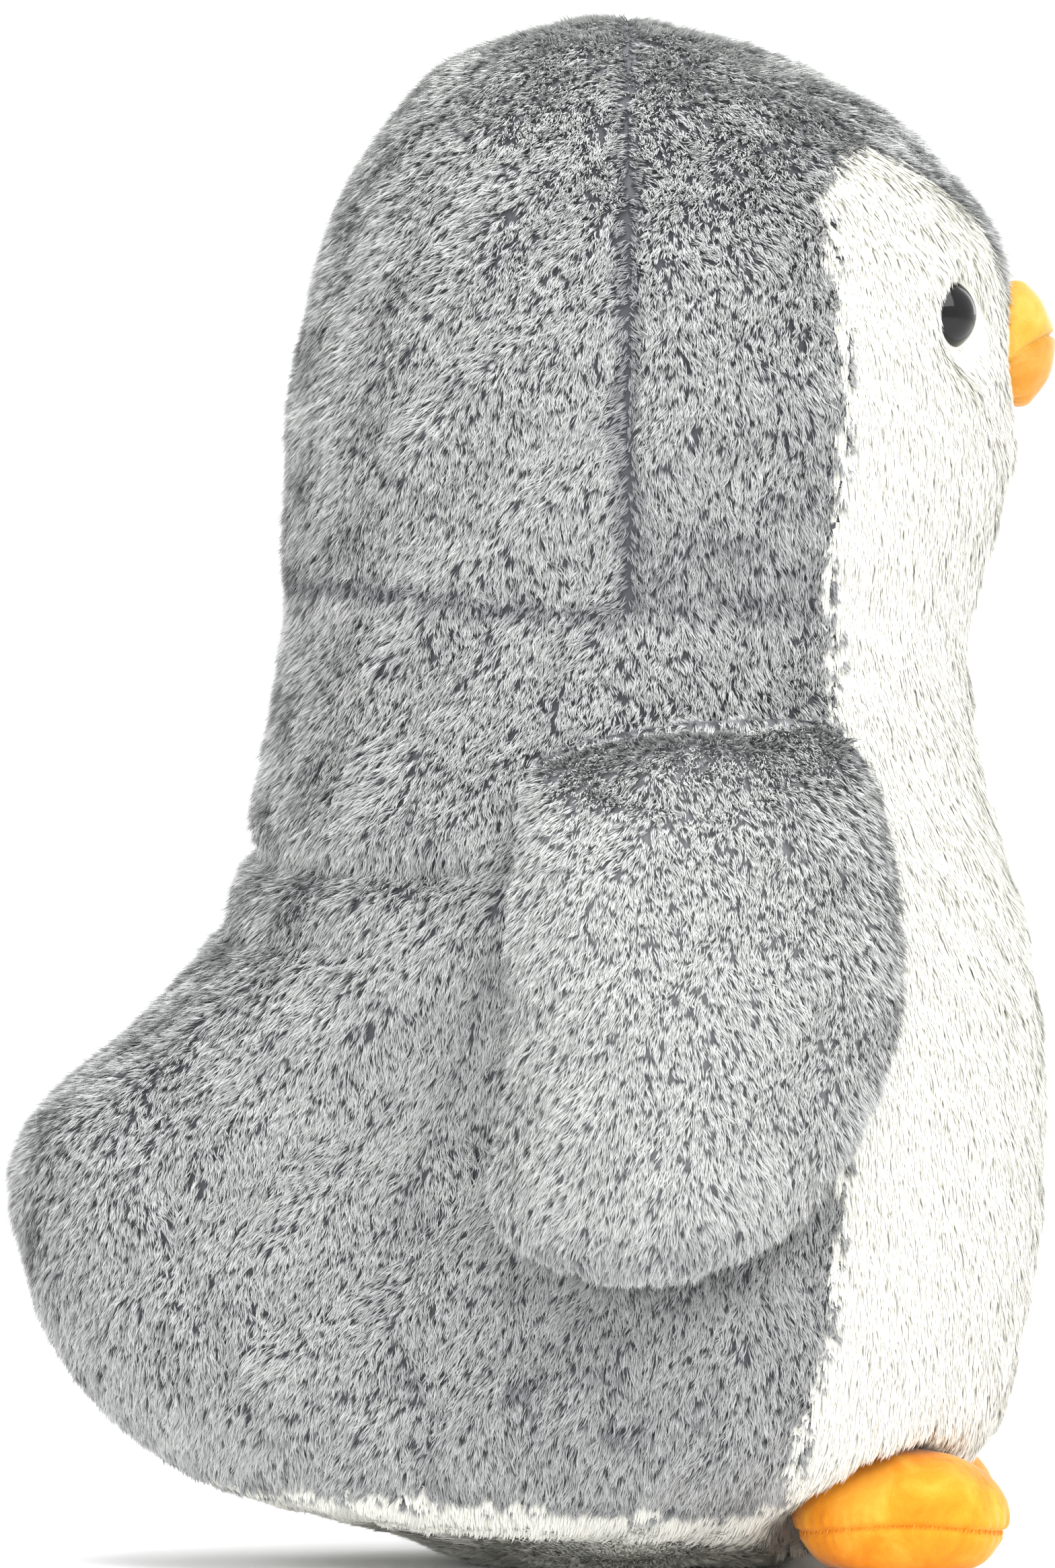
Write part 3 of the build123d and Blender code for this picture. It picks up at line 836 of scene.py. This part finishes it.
def split_piece(mesh, name, chosen):
    """The faces that are chosen, as their own mesh."""
    work = bmesh.new()
    work.from_mesh(mesh)
    work.faces.ensure_lookup_table()
    bmesh.ops.delete(work, geom=[f for f in work.faces if not chosen[f.index]], context="FACES")
    part = bpy.data.meshes.new(name)
    work.to_mesh(part)
    work.free()
    shade_smooth(part)
    return part


def add_pads(mesh, body, parts):
    """A velboa skin's two sewn halves, each with its material and standing for its CAD part."""
    for name, chosen, node, material, slot in parts:
        piece = mesh_object(name, split_piece(mesh, name, chosen))
        piece.data.materials.append(material)
        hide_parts(node)
        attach(piece, body)


def face_centres(mesh):
    return np.array([list(face.center) for face in mesh.polygons])


SEAM_WAVE = 1.8 * MM
PUCKERS = 46


def sole_level(seam_z, angle):
    """The height of a foot's sole seam at an angle round the foot."""
    return seam_z + SEAM_WAVE * np.cos(angle * 2)


def make_foot(side):
    """A puffed foot with a puckered, stitched seam round its sole."""
    body = f"foot_{side}"
    upper, sole, fill = (f"{body}_{kind}" for kind in ("upper", "sole", "stuffing"))
    mesh = solid_from_nodes(f"{body}_skin", [upper, sole, fill], 2.2 * MM)
    relax(mesh, 3)
    low, high = (np.array(corner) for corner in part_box(upper))
    middle, seam_z = (low + high) / 2, float(low[2])
    set_points(mesh, points_of(mesh) - normals_of(mesh) * 1.5 * MM)
    mesh = subdivided(puff(mesh, bell(points_of(mesh)[:, 2] - seam_z, 2.5 * MM), 2 * MM, 5.0))

    def height_over_seam(at):
        angle = np.arctan2(at[:, 1] - middle[1], at[:, 0] - middle[0])
        return at[:, 2] - sole_level(seam_z, angle), angle

    points, normals = points_of(mesh), normals_of(mesh)
    gap, angle = height_over_seam(points)
    groove = bell(gap, 1.1 * MM)
    pucker = np.exp(-np.abs(gap) / 0.006) * np.sin(angle * PUCKERS + 2 * np.sin(angle * 5))
    points -= normals * (1.7 * MM * groove - 0.28 * MM * pucker * (1 - groove))[:, None]
    lumps = 0.5 * MM * waves(points, 0.022, 71) + 0.12 * MM * waves(points, 0.004, 72)
    points += normals * lumps[:, None]
    points[:, 2] = np.maximum(points[:, 2], 0.2 * MM)
    set_points(mesh, points)
    above = height_over_seam(face_centres(mesh))[0] > 0
    add_pads(mesh, body, [(f"{body}_upper_pad", above, upper, ORANGE_VELBOA, "orange_velboa"),
                               (f"{body}_sole_pad", ~above, sole, ORANGE_VELBOA, "orange_velboa")])
    stitches(f"{body}_stitching", mesh, middle, seam_z, body)
    bpy.data.meshes.remove(mesh)


STITCHES = 64
STITCH_RINGS, STITCH_SIDES = 5, 5
THREAD_RADIUS = 0.26 * MM


def stitches(name, mesh, middle, seam_z, body):
    """Short thread loops across the sole's seam, each a small bent tube."""
    surface = surface_of(mesh)
    points, faces = [], []
    for k in range(STITCHES):
        angle = 2 * pi * k / STITCHES
        centre = Vector((middle[0], middle[1], sole_level(seam_z, angle)))
        out, along = Vector((cos(angle), sin(angle), 0)), Vector((-sin(angle), cos(angle), 0))
        hit, *_ = surface.ray_cast(centre + out * 0.06, -out)
        if hit is None:
            continue
        first = len(points)
        for ring in range(STITCH_RINGS):
            share = ring / (STITCH_RINGS - 1) * 2 - 1
            slant = Vector((0, 0, 1.4 * MM)) * share + along * 0.6 * MM * share
            at = hit + slant + out * (0.5 - 0.7 * share**2) * MM
            for corner in range(STITCH_SIDES):
                turn = 2 * pi * corner / STITCH_SIDES
                points.append(at + (along * cos(turn) + out * sin(turn)) * THREAD_RADIUS)
        for ring in range(STITCH_RINGS - 1):
            for corner in range(STITCH_SIDES):
                start = first + ring * STITCH_SIDES
                a, b = start + corner, start + (corner + 1) % STITCH_SIDES
                faces.append((a, b, b + STITCH_SIDES, a + STITCH_SIDES))
    piece = mesh_object(name, mesh_from(name, np.array([list(p) for p in points]), np.array(faces)))
    piece.data.materials.append(THREAD)
    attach(piece, body)


MOUTH_Z = 401.5 * MM
MOUTH_SLOPE = radians(36.0)
MOUTH_DROOP = 0.10


def make_beak():
    """The beak, filled out to its CAD box, with the mouth's seam drawn in and a narrower lower half."""
    mesh = solid_from_nodes("beak_skin", ["beak_upper", "beak_lower", "beak_stuffing"], 1.3 * MM)
    base = np.clip(normals_of(mesh)[:, 1:2] * 2, 0, 1)
    set_points(mesh, points_of(mesh) + [0, 1, 0] * base * 6 * MM)
    relax(mesh, 4)
    mesh = subdivided(mesh)
    points, normals = points_of(mesh), normals_of(mesh)
    boxes = np.array([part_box("beak_upper"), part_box("beak_lower")])
    low, high = boxes[:, 0].min(0), boxes[:, 1].max(0)
    drawn_low, drawn_high = points.min(0), points.max(0)
    for axis in (0, 2):
        share = (points[:, axis] - drawn_low[axis]) / (drawn_high[axis] - drawn_low[axis])
        points[:, axis] = low[axis] + share * (high[axis] - low[axis])
    points[:, 1] += low[1] - drawn_low[1]

    def height_over_mouth(at):
        mouth = MOUTH_Z - tan(MOUTH_SLOPE) * (at[:, 1] - low[1]) + MOUTH_DROOP * np.abs(at[:, 0])
        return at[:, 2] - mouth

    gap = height_over_mouth(points)
    points -= normals * (1.9 * MM * bell(gap, 1.1 * MM))[:, None]
    points += normals * (0.25 * MM * waves(points, 0.012, 81))[:, None]
    points[:, 0] *= 1 - 0.10 * np.clip(-gap / (4 * MM), 0, 1)
    set_points(mesh, points)
    above = height_over_mouth(face_centres(mesh)) > 0
    add_pads(mesh, "penguin",
             [("beak_upper_pad", above, "beak_upper", YELLOW_VELBOA, "yellow_velboa"),
              ("beak_lower_pad", ~above, "beak_lower", BEAK_ORANGE, "beak_orange_velboa")])
    bpy.data.meshes.remove(mesh)


# ---------------------------------------------------------------- inside

def make_fill(node, body, voxel, rounds=3, inset=1.6, headroom=0.0, ends=None):
    """Loose fibre fill: the fill's shape, shrunk into its cover and lumpy."""
    mesh = solid_from_nodes(f"{node}_fibre", [node], voxel)
    relax(mesh, rounds)
    points, normals = points_of(mesh), normals_of(mesh)
    lumps = 0.35 * waves(points, 5 * voxel, 91) + 0.2 * waves(points, 2.2 * voxel, 92)
    points += normals * ((lumps - inset) * voxel)[:, None]
    points[:, 2] = np.minimum(points[:, 2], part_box(node)[1][2] - headroom)
    set_points(mesh, points)
    shade_smooth(mesh)
    piece = mesh_object(f"{node}_fibre", mesh)
    piece.data.materials.append(FIBRE)
    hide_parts(node)
    if ends:
        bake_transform(piece)
    else:
        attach(piece, body)


def dress_nodes():
    """Materials on the CAD parts that stay as they are."""
    for node, material in (("eye_left", EYE_BLACK), ("eye_right", EYE_BLACK), ("eye_washer_left", WASHER),
                           ("eye_washer_right", WASHER), ("pellet_pouch", CLOTH), ("pellets", PELLETS)):
        mesh = frame["nodes"][node].data
        mesh.materials.clear()
        mesh.materials.append(material)
        shade_smooth(mesh)


# ---------------------------------------------------------------- scene

FLOOR_REACH = 6.0
LIGHTS = {"key": ((-1.6, -1.0, 2.0), 1.6, 32.0), "fill": ((-1.8, 1.4, 1.0), 1.8, 10.0),
          "top": ((-0.5, 0.1, 2.4), 1.6, 42.0), "far": ((1.9, -1.0, 1.3), 1.8, 18.0)}
SKY_STRENGTH = 1.15
CAMERA_DISTANCE = 4.0
CAMERA_AZIMUTH = radians(270.0)
CAMERA_AIM = Vector((0, 0.5 * MM, 254.5 * MM))
VIEW_HEIGHT = 0.5128
SENSOR_HEIGHT = 36


def make_floor():
    material, tree, shader = new_material("floor")
    mottle(tree, shader, [(0.3, (0.93, 0.93, 0.93)), (0.7, (0.95, 0.95, 0.95))], Scale=3.0)
    shader.inputs["Roughness"].default_value = 0.9
    corners = np.array([[-1, -1, 0], [1, -1, 0], [1, 1, 0], [-1, 1, 0]]) * FLOOR_REACH
    floor = mesh_object("floor", mesh_from("floor", corners, np.array([[0, 1, 2, 3]])))
    floor.data.materials.append(material)
    floor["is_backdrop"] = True


def aimed(name, data, place, aim):
    """An object at a place in the scene, looking at a point."""
    obj = bpy.data.objects.new(name, data)
    bpy.context.scene.collection.objects.link(obj)
    obj.location = place
    obj.rotation_euler = (aim - obj.location).to_track_quat("-Z", "Y").to_euler()
    return obj


def make_lights():
    """A white sky and four soft lamps, all aimed at the middle of the penguin."""
    world = bpy.data.worlds.new("studio")
    bpy.context.scene.world = world
    world.use_nodes = True
    set_inputs(world.node_tree.nodes["Background"], {"Color": (1.0, 1.0, 1.0, 1), "Strength": SKY_STRENGTH})
    middle = Vector((0, (cad_low[1] + cad_high[1]) / 2, (cad_high[2] - cad_low[2]) / 2))
    for name, (place, size, power) in LIGHTS.items():
        light = bpy.data.lights.new(name, "AREA")
        light.size = size
        light.energy = power
        aimed(name, light, place, middle)


def make_camera():
    camera = bpy.data.cameras.new("camera")
    camera.sensor_fit = "VERTICAL"
    camera.sensor_height = SENSOR_HEIGHT
    camera.lens = SENSOR_HEIGHT * CAMERA_DISTANCE / VIEW_HEIGHT
    place = CAMERA_AIM + Vector((sin(CAMERA_AZIMUTH), -cos(CAMERA_AZIMUTH), 0)) * CAMERA_DISTANCE
    bpy.context.scene.camera = aimed("camera", camera, place, CAMERA_AIM)


bpy.context.scene.view_settings.view_transform = "Standard"
make_floor()
make_lights()
make_camera()
dress_nodes()
grow_body()
for side in ("left", "right"):
    grow_flipper(side)
    make_foot(side)
    make_fill(f"flipper_{side}_stuffing", f"flipper_{side}", 3 * MM, 26, 0.5, 20 * MM, flipper_bend(side))
    make_fill(f"foot_{side}_stuffing", f"foot_{side}", 2.5 * MM)
make_beak()
make_fill("beak_stuffing", "penguin", 1.5 * MM)
for node in ("head_stuffing", "body_stuffing", "tail_stuffing"):
    make_fill(node, "penguin", 7 * MM)
